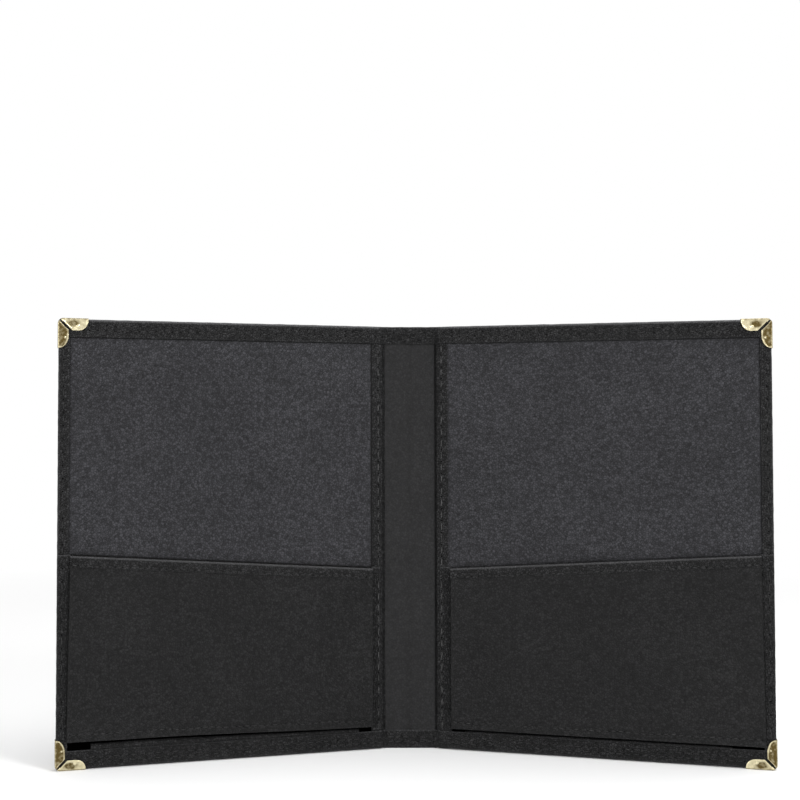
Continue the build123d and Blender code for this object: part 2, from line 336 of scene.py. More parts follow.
def leatherette(name, base, cell, crease, lift, rough, speckle=0.5, blue=1.03, squat=1.0, shine=0.2):
    """Embossed black leatherette: pebbles about a cell (mm) across, parted by grooves, with long creases
    (share) painted lighter as a highlight, a bump height (lift, mm), cloudy tone, a lighter shine where the
    piece is marked for rubbing and painted highlight, and near-black painted shade where it is marked for
    that.
    Squat makes the pebbles that much wider than tall."""
    material, tree = blank_material(name)
    place = object_place(tree)
    cloud = noise(tree, place, 22.0, 3.0)
    wander = add(tree, "ShaderNodeTexNoise", None, {"Vector": place, "Scale": 260.0 / cell, "Detail": 2.0})
    squashed = add(tree, "ShaderNodeMapping", None, {"Vector": place, "Scale": (1, 1, squat)}).outputs[0]
    shifted = add(tree, "ShaderNodeVectorMath", {"operation": "MULTIPLY_ADD"}, {
        0: wander.outputs["Color"], 1: (cell * 0.0011,) * 3, 2: squashed}).outputs[0]
    pebbles = add(tree, "ShaderNodeTexVoronoi", {"feature": "DISTANCE_TO_EDGE"}, {
        "Vector": shifted, "Scale": 1000.0 / cell})
    pebble = spread(tree, pebbles.outputs["Distance"], 0.0, 0.22)
    tones = add(tree, "ShaderNodeTexVoronoi", {"feature": "F1"}, {
        "Vector": shifted, "Scale": 1000.0 / cell})
    tone = add(tree, "ShaderNodeSeparateColor", None, {"Color": tones.outputs["Color"]}).outputs[0]
    lines = [crease_lines(tree, place, slope, seed) for slope, seed in ((-27, 0.0), (-9, 3.0))]
    line = maths(tree, "MAXIMUM", *lines)
    patch = spread(tree, cloud, 0.38, 0.62, 0.0, 1.0)
    fold = maths(tree, "MULTIPLY", maths(tree, "MULTIPLY", line, patch), crease)
    fine = noise(tree, place, 1900.0, 2.0)
    height = maths(tree, "ADD", pebble, maths(tree, "MULTIPLY", fine, 0.55))
    height = maths(tree, "SUBTRACT", height, fold)
    bump = bumped(tree, height, 1.0, lift * MM)
    worn_and_highlit = painted(tree, "wear_and_highlight")
    shade = maths(tree, "MULTIPLY", spread(tree, pebble, 0, 1, 1 - 0.55 * speckle, 1.0),
                  spread(tree, tone, 0, 1, 1 - 0.4 * speckle, 1 + 0.4 * speckle))
    shade = maths(tree, "MULTIPLY", shade, spread(tree, cloud, 0.3, 0.7, 0.88, 1.12))
    colour = mixed(tree, spread(tree, shade, 0.0, 2.0), grey(0.0, blue), grey(base * 2, blue))
    # Painted highlight: the crease lines are painted lighter, as glints along them.
    colour = mixed(tree, spread(tree, fold, 0.1, 1.9), colour, grey(base * 6, blue))
    # Lighter where marked: rubbing together with painted highlight, chiefly along lit folded edges.
    colour = mixed(tree, maths(tree, "MULTIPLY", worn_and_highlit, 0.8), colour, grey(base * 6, blue))
    # Painted shade: near black where the piece is marked as out of the light.
    painted_shade = painted(tree, "painted_shade")
    colour = mixed(tree, painted_shade, colour, grey(0.0003))
    sheen = maths(tree, "SUBTRACT", spread(tree, pebble, 0, 1, rough + 0.16, rough),
                  maths(tree, "MULTIPLY", maths(tree, "ADD", worn_and_highlit, fold), 0.12))
    surface(tree, {
        "Base Color": colour, "Roughness": sheen, "Normal": bump,
        "IOR": 1.42, "Specular IOR Level": shine})
    return material


def sewing_thread(name, dull, bright):
    """Black bonded thread: a twist of fine strands that catches a little light."""
    material, tree = blank_material(name)
    place = object_place(tree)
    slant = add(tree, "ShaderNodeMapping", None, {
        "Vector": place, "Rotation": (0, math.radians(40), 0)}).outputs[0]
    twist = add(tree, "ShaderNodeTexWave", {"wave_type": "BANDS"}, {
        "Vector": slant, "Scale": 700.0, "Distortion": 1.0})
    tone = noise(tree, place, 160.0, 2.0)
    colour = mixed(tree, spread(tree, tone, 0.35, 0.65), grey(dull), grey(bright))
    bump = bumped(tree, twist.outputs["Fac"], 0.8, 0.0001)
    surface(tree, {
        "Base Color": colour, "Roughness": spread(tree, twist.outputs["Fac"], 0, 1, 0.6, 0.42),
        "Normal": bump, "Specular IOR Level": 0.3})
    return material


def needle_hole_shade():
    """A near-black dot: painted shade inside the dent that a thick needle leaves at each end of a stitch."""
    material, tree = blank_material("needle_hole_shade")
    place = object_place(tree)
    tone = noise(tree, place, 900.0)
    colour = mixed(tree, tone, grey(0.001), grey(0.005))
    surface(tree, {
        "Base Color": colour, "Roughness": 0.95, "Specular IOR Level": 0.05})
    return material


def antique_brass():
    """Pressed brass with a pale plated face, brown patina in its recesses, finely scratched, paler where a
    highlight is painted and near black where shade is painted.
    """
    material, tree = blank_material("antique_brass")
    place = object_place(tree)
    cloud = noise(tree, place, 420.0, 4.0)
    drawn = add(tree, "ShaderNodeMapping", None, {"Vector": place, "Scale": (6, 6, 1)}).outputs[0]
    scratch = noise(tree, drawn, 500.0, 3.0)
    worn_and_highlit = painted(tree, "wear_and_highlight")
    # Brown patina from the noise, made paler where the points carry painted highlight.
    stain = maths(tree, "SUBTRACT", spread(tree, cloud, 0.3, 0.7, 0.4, 0.95), worn_and_highlit)
    stain = add(tree, "ShaderNodeClamp", None, {"Value": maths(tree, "ADD", stain, 0.3)}).outputs[0]
    colour = mixed(tree, stain, (0.74, 0.67, 0.45, 1), (0.105, 0.075, 0.025, 1))
    # Painted shade: near black in the mitre gap and the notch.
    painted_shade = painted(tree, "painted_shade")
    colour = mixed(tree, painted_shade, colour, (0.012, 0.008, 0.004, 1))
    gloss = maths(tree, "ADD", spread(tree, scratch, 0.3, 0.7, 0.27, 0.4),
                  maths(tree, "MULTIPLY", stain, 0.2))
    bump = bumped(tree, cloud, 0.35, 0.00012)
    surface(tree, {
        "Base Color": colour, "Metallic": 1.0, "Roughness": gloss, "Normal": bump})
    return material


def greyboard():
    """Pressed waste-paper board: brown grey, fibrous, with darker flecks."""
    material, tree = blank_material("greyboard")
    place = object_place(tree)
    fibre = noise(tree, place, 700.0, 5.0)
    fleck = add(tree, "ShaderNodeTexVoronoi", {"feature": "F1"}, {"Vector": place, "Scale": 260.0})
    colour = mixed(tree, fibre, (0.20, 0.17, 0.13, 1), (0.42, 0.37, 0.29, 1))
    colour = mixed(tree, spread(tree, fleck.outputs["Distance"], 0.0, 0.18, 0.5, 0.0), colour,
                   (0.08, 0.07, 0.06, 1))
    bump = bumped(tree, fibre, 0.5, 0.0001)
    surface(tree, {
        "Base Color": colour, "Roughness": 0.92, "Normal": bump})
    return material


GRAINED = leatherette("grained_leatherette", base=0.0125, cell=2.1, crease=1.5, lift=0.4, rough=0.36,
                      speckle=1.6, squat=1.8)
TRIM = leatherette("trim_leatherette", base=0.0175, cell=1.6, crease=0.15, lift=0.38, rough=0.44,
                   speckle=1.5)
SMOOTH = leatherette("smooth_spine_vinyl", base=0.0155, cell=1.8, crease=0.1, lift=0.06, rough=0.46,
                     speckle=0.55)
POCKET = leatherette("pocket_leatherette", base=0.011, cell=1.7, crease=0.3, lift=0.2, rough=0.44,
                     speckle=1.2)
PEBBLED = leatherette("pebbled_lining_vinyl", base=0.030, cell=1.6, crease=0.0, lift=0.15, rough=0.44,
                      speckle=1.1, blue=1.12)
# A near-black cloth that stands in for the shade in the pocket's foot recesses.
SHADE_SHEET = leatherette("black_painted_shade_cloth", base=0.001, cell=1.2, crease=0.2, lift=0.05, rough=0.8,
                     speckle=0.5, shine=0.0)
THREAD = sewing_thread("bonded_thread", 0.007, 0.026)
# A lighter copy of the thread for the strip rows: its extra lightness is painted highlight.
HIGHLIT_THREAD = sewing_thread("highlight_painted_thread", 0.02, 0.085)
NEEDLE = needle_hole_shade()
BRASS = antique_brass()
BOARD = greyboard()


# ---- spine ----
def spine_lining():
    """The smooth inner face of the spine, a little full on both sides of its soft centre crease."""
    x = ruler(-spine_edge, spine_edge, 0.6, 0.6)[None, :]
    z = ruler(band_bottom - 4, band_top + 4, 3.0)[:, None]
    crease = np.exp(-((x - 0.6 * ripple(z, 0 * z, 60, 3)) / 2.2) ** 2)
    full = 0.35 * np.sin(np.pi * (1 - np.abs(x) / spine_edge)) ** 2
    face = spine_in + full - 0.3 * crease + 0.06 * ripple(x, z / 3, 7, 4)
    edge = spine_edge - np.abs(x)
    face = face - 0.3 * roll(edge, 0.7)
    # Painted shade under the top band and along the centre crease.
    piece = shell("spine_lining_sheet", "spine", grid(x, face, z), grid(x, spine_in - 0.75, z),
                  SMOOTH, None,
                  0.75 * crevice(band_top - z, 0.3, 1.4) + 0.12 * crease)
    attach(piece, "spine")
    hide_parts("spine_lining")


def across_hinge(piece):
    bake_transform(piece)


def bend_to_spine(points):
    """Unroll the turn at the hinge: points on the spine side are drawn in the spine's plane."""
    share = 1 - ease(points[..., 0], BLEND_SPINE, BLEND_LEAF)
    angle = share * resting_angle
    x, depth = points[..., 0].copy(), points[..., 1].copy()
    points[..., 0] = x * np.cos(angle) + depth * np.sin(angle)
    points[..., 1] = depth * np.cos(angle) - x * np.sin(angle)
    return points


def spine_skin(side):
    """Half of the smooth outer face of the spine, from its centre fold to under the strip on the leaf."""
    tuck = strip_start + 1.6
    x = np.concatenate([ruler(-half_spine, -2.5, 0.8), ruler(-2.5, tuck, 0.25)[1:]])[None, :]
    z = ruler(bound_bottom + 4, bound_top - 4, 3.0)[:, None]
    fold = np.exp(-((x + half_spine) / 1.6) ** 2)
    groove = np.exp(-(x / 0.8) ** 2)
    face = skin_out + 0.3 * fold + 0.18 * groove - 0.05 * ripple(x, z / 3, 8, 6)
    face_grid = bend_to_spine(grid(x, face, z))
    back_grid = bend_to_spine(grid(x, -skin_out - 0.1, z))
    piece = shell(side + "_spine_skin", side, face_grid, back_grid, SMOOTH,
                  0.35 * groove + 0.3 * fold)
    across_hinge(piece)
    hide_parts("spine_cover")


# ---- skins of one leaf ----
def outer_panel(side):
    """The grained panel outside, with the slow swell of pasted leatherette."""
    x = ruler(strip_edge - 0.6, side_edge + 1, 2.2, 3.0)[None, :]
    z = ruler(band_bottom - 1, band_top + 1, 2.2, 3.0)[:, None]
    seed = 20 if side == "front" else 40
    swell = 0.10 * ripple(x, z, 26, seed + 2) + 0.05 * ripple(x, z, 5, seed + 3)
    face = skin_out - 0.12 - swell
    # Painted shade beside the strip's edge and under the top band.
    piece = shell(side + "_grained_panel", side, grid(x, face, z), grid(x, -skin_out - 0.05, z),
                  GRAINED, None,
                  np.maximum(crevice(x - strip_edge - 0.5, 0.5, 1.6), crevice(band_top - z, 0.5, 1.6)))
    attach(piece, side + "_cover")
    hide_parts(side + "_outer_panel")


def lining(side, pocket):
    """The pebbled lining, pasted flat, with the board's slow waves showing through."""
    x = ruler(strip_edge - 1, side_edge + 1, 1.6, 4.0)[None, :]
    low, high = pocket.mouth_in - 3, pocket.mouth_out + 3
    z = np.concatenate([ruler(band_bottom - 1, low, 1.8), ruler(low, high, 0.7)[1:],
                        ruler(high, band_top - 3, 1.6)[1:], ruler(band_top - 3, band_top + 1, 0.5)[1:]])
    z = z[:, None]
    seed = 60 if side == "front" else 80
    face = lining_in - 0.06 + 0.07 * ripple(x, z, 40, seed) + 0.02 * ripple(x, z, 6, seed + 1)
    # Painted shade under the top band, beside the side band, above the pocket's mouth and beside the strip,
    # stronger on the front leaf.
    shade = crevice(band_top - z, 0.3, 1.2) * (0.95 if side == "front" else 0.75)
    shade = np.maximum(shade, crevice(side_edge - x, 0.4, 1.3) * 0.6)
    above = z - pocket.mouth(x)
    shade = np.maximum(shade, crevice(above, 0.5, 1.7) * (0.9 if side == "front" else 0.6))
    shade = np.maximum(shade, crevice(x - strip_edge, 0.9, 1.7) * (1.0 if side == "front" else 0.25))
    piece = shell(side + "_lining_sheet", side, grid(x, face, z), grid(x, lining_in - 0.5, z),
                  PEBBLED, None, shade)
    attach(piece, side + "_cover")
    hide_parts(side + "_lining")


def inner_strip(side):
    """The sewn strip inside: from under the spine's lining, down the gutter, over the board's edge."""
    rise = np.linspace(0, 1, 11)
    foot, crest = GUTTER[side]
    gutter_x = np.linspace(-2.4, foot, 7)
    climb_x = foot + (crest - foot) * rise[1:]
    low = spine_in - 0.2
    climb = low + (lining_in + STRIP_LIFT - low) * ease(rise, -0.15, 1)[1:]
    over_x = ruler(crest, strip_edge + 0.3, 0.45, 0.4)[1:]
    path_x = np.concatenate([gutter_x, climb_x, over_x])[None, :]
    path = np.concatenate([0 * gutter_x + low, climb, 0 * over_x + lining_in + STRIP_LIFT])[None, :]
    z = ruler(band_bottom - 3, band_top + 3, 1.3)[:, None]
    slope = np.gradient(path[0], path_x[0])[None, :]
    length = np.sqrt(1 + slope ** 2)
    dip = seam_dip(path_x, z, STRIP_ROW, STRIP_PITCH, 0.22, 0.8)
    puff = 0.1 * ripple(path_x * 1.2, z, 5.5, 7) * ease(path_x, 1, 3) * ease(strip_edge - path_x, -0.3, 1.5)
    face = path + puff - dip - 0.9 * roll(strip_edge + 0.3 - path_x, 0.45)
    thick = 0.42
    back_x = path_x + thick * slope / length
    back = path - thick / length
    face_grid = bend_to_spine(grid(path_x, face, z))
    back_grid = bend_to_spine(grid(back_x, back, z))
    # Painted shade down the gutter.
    piece = shell(side + "_inner_strip", side, face_grid, back_grid, TRIM,
                  None, 0.35 * np.exp(-((path_x - (foot + crest) / 2) / 1.3) ** 2))
    across_hinge(piece)
    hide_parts(side + "_inner_hinge_strip")


def outer_strip(side):
    """The sewn strip outside, lapped over the panel's edge."""
    x = ruler(strip_start, strip_edge + 0.5, 0.45, 0.5)[None, :]
    z = ruler(band_bottom - 3, band_top + 3, 1.3)[:, None]
    dip = seam_dip(x, z, STRIP_ROW, STRIP_PITCH, 0.2, 0.8)
    edge = np.minimum(x - strip_start, strip_edge + 0.5 - x)
    face = skin_out - 0.42 + dip + 0.4 * roll(edge, 0.5) / 0.5 - 0.08 * ripple(x, z, 5.5, 9)
    piece = shell(side + "_outer_strip", side, grid(x, face, z), grid(x, skin_out + 0.1, z),
                  TRIM, 0.15 * np.exp(-(edge / 0.6) ** 2))
    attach(piece, side + "_cover")
    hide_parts(side + "_outer_hinge_strip")


# ---- bands folded over the edges ----
def end_band(side, end):
    """The band folded over a leaf's top or bottom, from the spine's centre to the outer corner."""
    up = 1 if end == "top" else -1
    leaf_fold = bound_top if end == "top" else bound_bottom
    spine_fold = bound_top if end == "top" else fold_low.z
    free = band_top if end == "top" else band_bottom
    edge = leaf_height if end == "top" else 0.0
    stations = np.concatenate([
        ruler(-half_spine, -3, 0.6), ruler(-3, 4, 0.3)[1:], ruler(4, bound_x - LEAF_ROUND, 0.95)[1:],
        bound_x - LEAF_ROUND + LEAF_ROUND * np.sin(np.linspace(0, math.pi / 2, 9))[1:]])
    faces, backs, worn_and_highlit = [], [], []
    seed = 100 if end == "top" else 120
    for x in stations:
        on_leaf = float(ease(x, -2.6, 3.6))
        inside = band_depth + (band_in - band_depth) * on_leaf
        fold = spine_fold + (leaf_fold - spine_fold) * float(ease(x, -1.0, 1.0))
        fold -= up * float(roll(bound_x - x, LEAF_ROUND))
        tall = up * (fold - free)
        face, back, look, loose = fold_section(tall, tall, inside, band_out, BAND_BEND, BAND_THICK)
        height = fold - up * face[:, 0]
        from_edge = up * (edge - height)
        shift = 0.07 * ripple(0 * height + x, height + 40 * look[:, 1], 6, seed)
        for row in BAND_ROWS:
            shift -= seam_dip(from_edge, x, row, BAND_PITCH, 0.2, 0.7) * np.abs(look[:, 1])
        gather = float(1 - ease(x, -1.0, 7.0))
        lean = 0.75 * (x + half_spine) - height
        wrinkle = 0.9 * np.tanh(ripple(lean / 2.6, (x + height + 30 * look[:, 1]) / 6.0, 1.0, seed + 1))
        shift += (0.45 if end == "top" else 0.25) * gather * wrinkle * ease(loose, 0.0, 1.5) * look[:, 1] ** 2
        shift -= 0.85 * roll(loose, 0.42)
        shift *= 1 - 0.6 * float(roll(bound_x - x, LEAF_ROUND)) / LEAF_ROUND
        face = face + shift[:, None] * look
        faces.append(grid(x, face[:, 1], fold - up * face[:, 0]))
        backs.append(grid(x, back[:, 1], fold - up * back[:, 0]))
        # Painted highlight along the folded top edge, faint at the bottom and near the spine, and a lighter
        # line along the free edge.
        painted_edge_highlight = (0.9 if end == "top" else 0.1) * crevice(from_edge, 1.2, 2.6) * (1 - 0.9 * gather)
        worn_and_highlit.append(painted_edge_highlight + (0.1 if end == "top" else 0.3) * np.exp(-(loose / 0.6) ** 2))
    face_grid, back_grid = bend_to_spine(np.array(faces)), bend_to_spine(np.array(backs))
    piece = shell(f"{side}_{end}_band", side, face_grid, back_grid, TRIM, np.array(worn_and_highlit))
    across_hinge(piece)
    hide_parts(f"{side}_{end}_binding", f"spine_{end}_binding")


def side_band(side):
    """The band folded over a leaf's outer edge, between the two end bands."""
    tall = bound_x - side_edge
    face, back, look, loose = fold_section(tall, tall, band_in, band_out, BAND_BEND, BAND_THICK)
    z = ruler(band_bottom + 0.05, band_top - 0.05, 1.4, 0.3)[:, None]
    from_edge = leaf_width - (bound_x - face[:, 0])[None, :]
    dip = seam_dip(from_edge, z, SIDE_ROW, SIDE_PITCH_OUT, 0.2, 0.7) * np.abs(look[:, 1])
    shift = 0.08 * ripple(z, face[:, 0] + 40 * look[:, 1], 6, 140) - dip - 0.85 * roll(loose, 0.42)
    x = bound_x - (face[:, 0] + shift * look[:, 0])
    depth = face[:, 1] + shift * look[:, 1]
    wear_and_highlight = 0.2 * crevice(from_edge, 1.0, 2.2) + 0.1 * np.exp(-(loose / 0.6) ** 2)
    piece = shell(side + "_side_band", side, grid(x, depth, z),
                  grid((bound_x - back[:, 0])[None, :], back[:, 1][None, :], z), TRIM,
                  wear_and_highlight)
    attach(piece, side + "_cover")
    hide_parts(side + "_side_binding")


# ---- brass corners ----
WINGS = {"top": {"end": 8.5, "side": 7.3}, "bottom": {"end": 7.0, "side": 6.7}}
MITRE_HALF = 0.55
BRASS_BEND = 0.9
BRASS_ROUND = 3.6
WIDEST = {"end": 13.0, "side": 10.5}
NOTCH = 1.5
BRASS_SHEET = 0.42            # thickness of the metal


def brass_corner(side, end):
    """A pressed corner: two dished, dimpled wings inside, a wall round the edge and a triangle outside."""
    tall = WINGS[end]
    face_in = band_in + BRASS_THICK
    face_out = band_out - BRASS_THICK
    legs = ruler(BRASS_ROUND, BRASS_LEG, 0.3, 0.35)
    arc = np.linspace(0, math.pi / 4, 11)
    faces, backs, worn_and_highlit, painted_shades = [], [], [], []
    stations = [("side", a, None) for a in legs[::-1]] + [("side", None, t) for t in arc[::-1][1:]]
    stations += [("end", None, t) for t in arc[1:-1]] + [("end", a, None) for a in legs]
    turn = np.linspace(0, math.pi / 2, 6)
    for wing, a, angle in stations:
        if a is None:
            mitre = BRASS_ROUND - MITRE_HALF / max(math.sin(angle), 1e-3)
            lean = angle if wing == "end" else -angle
            out = Vector((math.cos(math.pi / 4 + lean), math.sin(math.pi / 4 + lean)))
            base = Vector((leaf_width - BRASS_ROUND, leaf_height - BRASS_ROUND)) + BRASS_ROUND * out
            triangle, run = BRASS_ROUND, BRASS_ROUND
        else:
            mitre = a - MITRE_HALF * math.sqrt(2)
            out = Vector((0, 1)) if wing == "end" else Vector((1, 0))
            across, up = (a, 0.0) if wing == "end" else (0.0, a)
            base = Vector((leaf_width - across, leaf_height - up))
            triangle, run = min(a, BRASS_LEG - a), a
        widest = WIDEST[wing]
        swell = (run - widest) / (BRASS_LEG - widest) if run > widest else 0.35 * (widest - run) / widest
        width = max(0.0, min(mitre, tall[wing] * (0.12 + 0.88 * (1 - min(1.0, swell) ** 2.6) ** 0.5)))
        notch = NOTCH * (1 - min(1.0, max(0.0, mitre + 1.0)))
        start = math.acos(1 - min(1.0, width / BRASS_BEND)) if width < BRASS_BEND else math.pi / 2
        flange = np.linspace(width, min(BRASS_BEND, width), 22)
        bend = start * (1 - turn[1:] / (math.pi / 2))
        t_bend = BRASS_BEND * (1 - np.cos(bend))
        d_bend = face_in - BRASS_BEND * (1 - np.sin(bend))
        if width < BRASS_BEND:
            flange = 0 * flange + BRASS_BEND * (1 - math.cos(start))
        d_flange = 0 * flange + face_in - BRASS_BEND * (1 - math.sin(start))
        wall_top = face_in - BRASS_BEND - notch
        wall = np.linspace(wall_top, face_out + BRASS_BEND, 6)[1:]
        end_turn = math.acos(1 - min(1.0, triangle / BRASS_BEND)) if triangle < BRASS_BEND else math.pi / 2
        lower = end_turn * turn[1:] / (math.pi / 2)
        t_low = BRASS_BEND * (1 - np.cos(lower))
        d_low = face_out + BRASS_BEND * (1 - np.sin(lower))
        plate = np.linspace(t_low[-1], max(triangle, t_low[-1]), 22)[1:]
        t = np.concatenate([flange, t_bend, 0 * wall, t_low, plate])
        d = np.concatenate([d_flange, d_bend, wall, d_low, 0 * plate + d_low[-1]])
        if notch > 0:
            high = len(flange) + len(t_bend)
            d[:high] = np.minimum(d[:high], wall_top)
            t[:high] = 0.0
        along_bend = np.concatenate([bend, 0 * wall, -lower])
        look_t = np.concatenate([0 * flange, -np.cos(along_bend), 0 * plate])
        look_d = np.concatenate([0 * flange + 1, np.sin(along_bend), 0 * plate - 1])
        face = np.stack([t, d], -1)
        look = np.stack([look_t, look_d], -1)
        back = face - BRASS_SHEET * look
        rim = np.minimum(width - t, BRASS_LEG - run)
        rim = np.minimum(rim, (mitre - t) * 0.8 + 0.2)
        on_wing = (np.arange(len(t)) < len(flange)) & (width > BRASS_BEND)
        spot = np.hypot(run - 0.64 * BRASS_LEG, t - 0.64 * tall[wing])
        stain = np.hypot((run - 0.5 * BRASS_LEG) / 1.6, t - 0.45 * tall[wing])
        press = 0.16 * np.exp(-((rim - 0.75) / 0.45) ** 2) - 0.16 * ease(rim, 0.9, 2.2)
        press += 0.5 * np.exp(-(spot / 0.85) ** 2) - 0.14 * np.exp(-((spot - 1.75) / 0.5) ** 2)
        press -= 0.5 * roll(np.maximum(rim, 0), 0.4)
        press += 0.05 * ripple(0 * t + run, t + (0 if wing == "end" else 30), 2.4, 160)
        outside_press = -0.4 * roll(np.maximum((triangle - t) * 0.7, 0), 0.35)
        on_plate = np.arange(len(t)) >= len(t) - len(plate)
        shift = np.where(on_wing, press, 0.0) + np.where(on_plate, outside_press, 0)
        face = face + shift[:, None] * look
        xs, zs = base.x - out.x * face[:, 0], base.y - out.y * face[:, 0]
        xb, zb = base.x - out.x * back[:, 0], base.y - out.y * back[:, 0]
        faces.append(grid(xs, face[:, 1], zs))
        backs.append(grid(xb, back[:, 1], zb))
        # Painted highlight: the end wing paler all over, a pale rim and a bright spot on the dimple. The
        # brown streak across the middle is patina.
        bright = (0.8 if wing == "end" else 0.0) - 1.9 * np.exp(-(stain / 1.9) ** 2)
        bright = bright + 0.7 * np.exp(-((rim - 0.6) / 0.6) ** 2) + 1.6 * np.exp(-(spot / 0.75) ** 2)
        worn_and_highlit.append(np.where(on_wing, bright, 0.35))
        # Painted shade: near black along the mitre gap and where the notch cuts the wing.
        gap = run - t if a is not None else mitre - t
        groove = crevice(gap - MITRE_HALF, 0.6, 1.0) * (a is not None)
        painted_shades.append(np.where(on_wing, groove, float(notch > 0)))
    face_grid, back_grid = np.array(faces), np.array(backs)
    if end == "bottom":
        face_grid[..., 2] = leaf_height - face_grid[..., 2]
        back_grid[..., 2] = leaf_height - back_grid[..., 2]
    piece = shell(f"{side}_{end}_brass", side, face_grid, back_grid, BRASS, np.array(worn_and_highlit),
                  np.array(painted_shades))
    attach(piece, side + "_cover")
    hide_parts(f"{side}_{end}_corner")


# ---- pockets ----
HEM_TALL = 7.6
HEM_LIFT = 0.42               # the hem stands on the pocket front
HEM_THICK = 0.34
END_LEAN = 1.8                # the outer end leans in this far on its way up
FOOT_RISE = 2.3               # the left-hand foot rises this far on its way out


class Pocket:
    """The outline of one pocket front, read from the model."""

    def __init__(self, side):
        low, high = flat_box("pocket_panel", side)
        self.side = side
        self.inner, self.outer = low.x, high.x
        self.foot, self.mouth_out = low.z, high.z
        self.back, self.front = low.y, high.y
        self.mouth_in = flat_box("pocket_inner_gusset", side)[1].z
        self.flange_foot = flat_box("pocket_outer_gusset", side)[0].z

    def outer_at(self, z):
        """The outer end leans in a little towards the mouth."""
        return self.outer - END_LEAN * (z - self.foot) / (self.mouth_out - self.foot)

    def foot_at(self, x):
        """The left-hand pocket is sewn a little higher away from the spine."""
        rise = FOOT_RISE if self.side == "front" else 0.0
        return self.foot + rise * ease(x, self.inner + 4, self.inner + 160)

    def mouth(self, x):
        """The slanted mouth, a straight line up from the spine to the outer end."""
        climb = self.mouth_out - self.mouth_in
        return self.mouth_in + climb * (x - self.inner) / (self.outer - END_LEAN - self.inner)


def pocket_front(pocket):
    """The pocket's front, slightly full, drawn in along its foot seam."""
    u = ruler(0, 1, 1 / 190, 0.008)[None, :]
    v = ruler(0, 1, 1 / 105, 0.008)[:, None]
    x = pocket.inner + (pocket.outer - pocket.inner) * u
    foot = pocket.foot_at(x)
    z = foot + (pocket.mouth(x) - 0.4 - foot) * v
    x = pocket.inner + (pocket.outer_at(z) - pocket.inner) * u
    seed = 180 if pocket.side == "front" else 200
    edge = np.minimum(x - pocket.inner, pocket.outer_at(z) - x)
    edge = np.minimum(edge, z - foot)
    full = 0.5 * np.sin(np.pi * u) ** 0.7 * np.sin(np.pi * np.clip(v, 0.0, 1)) ** 0.7
    pucker = 0.16 * ripple(x, z / 3, 3.2, seed + 2) * np.exp(-((z - foot - 3) / 4.5) ** 2)
    face = pocket.front - 0.1 + full * 0.8 + 0.1 * ripple(x, z, 30, seed) + 0.04 * ripple(x, z, 5, seed + 1)
    face = face + pucker - seam_dip(z, x, foot + FOOT_ROW, POCKET_PITCH, 0.25, 0.8)
    face = face - roll(edge, 0.55)
    # Painted shade along the pocket front's two ends.
    piece = shell(pocket.side + "_pocket_front", pocket.side, grid(x, face, z),
                  grid(x, pocket.back, z), POCKET, 0.1 * np.exp(-(edge / 0.7) ** 2),
                  0.6 * crevice(np.minimum(x - pocket.inner, pocket.outer_at(z) - x), 0.2, 0.9))
    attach(piece, pocket.side + "_pocket")
    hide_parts(pocket.side + "_pocket_panel")


def pocket_hem(pocket):
    """The hem folded over the pocket's slanted mouth."""
    faces, backs, worn_and_highlit = [], [], []
    seed = 220 if pocket.side == "front" else 230
    end_x = pocket.outer_at(pocket.mouth_out)
    for x in ruler(pocket.inner, end_x, 0.9, 0.4):
        u = (x - pocket.inner) / (end_x - pocket.inner)
        swell = 0.42 * math.sin(math.pi * u) ** 0.7
        face, back, look, loose = fold_section(
            HEM_TALL, 5.0, pocket.front + HEM_LIFT, pocket.back - 0.25, 0.62, HEM_THICK)
        fall = pocket.mouth(x)
        height = fall - face[:, 0]
        shift = 0.05 * ripple(0 * height + x, height + 20 * look[:, 1], 5, seed)
        shift -= seam_dip(face[:, 0], x, HEM_ROW, POCKET_PITCH, 0.14, 0.5) * (look[:, 1] > 0.5)
        shift -= 0.9 * roll(loose, 0.3)
        shift -= roll(min(x - pocket.inner, end_x - x), 0.5) * 0.6
        hug = swell * np.sin(np.pi * np.clip((face[:, 0]) / 60, 0, 1)) ** 0.7 * (look[:, 1] > 0.5)
        face = face + shift[:, None] * look
        faces.append(grid(x, face[:, 1] + hug, fall - face[:, 0]))
        backs.append(grid(x, back[:, 1] + hug, fall - back[:, 0]))
        # Painted highlight along the hem's folded top edge.
        worn_and_highlit.append(0.5 * crevice(face[:, 0], 0.7, 1.6) + 0.05 * np.exp(-(loose / 0.5) ** 2))
    piece = shell(pocket.side + "_pocket_band", pocket.side, np.array(faces), np.array(backs), TRIM,
                  np.array(worn_and_highlit))
    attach(piece, pocket.side + "_pocket")
    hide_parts(pocket.side + "_pocket_hem")


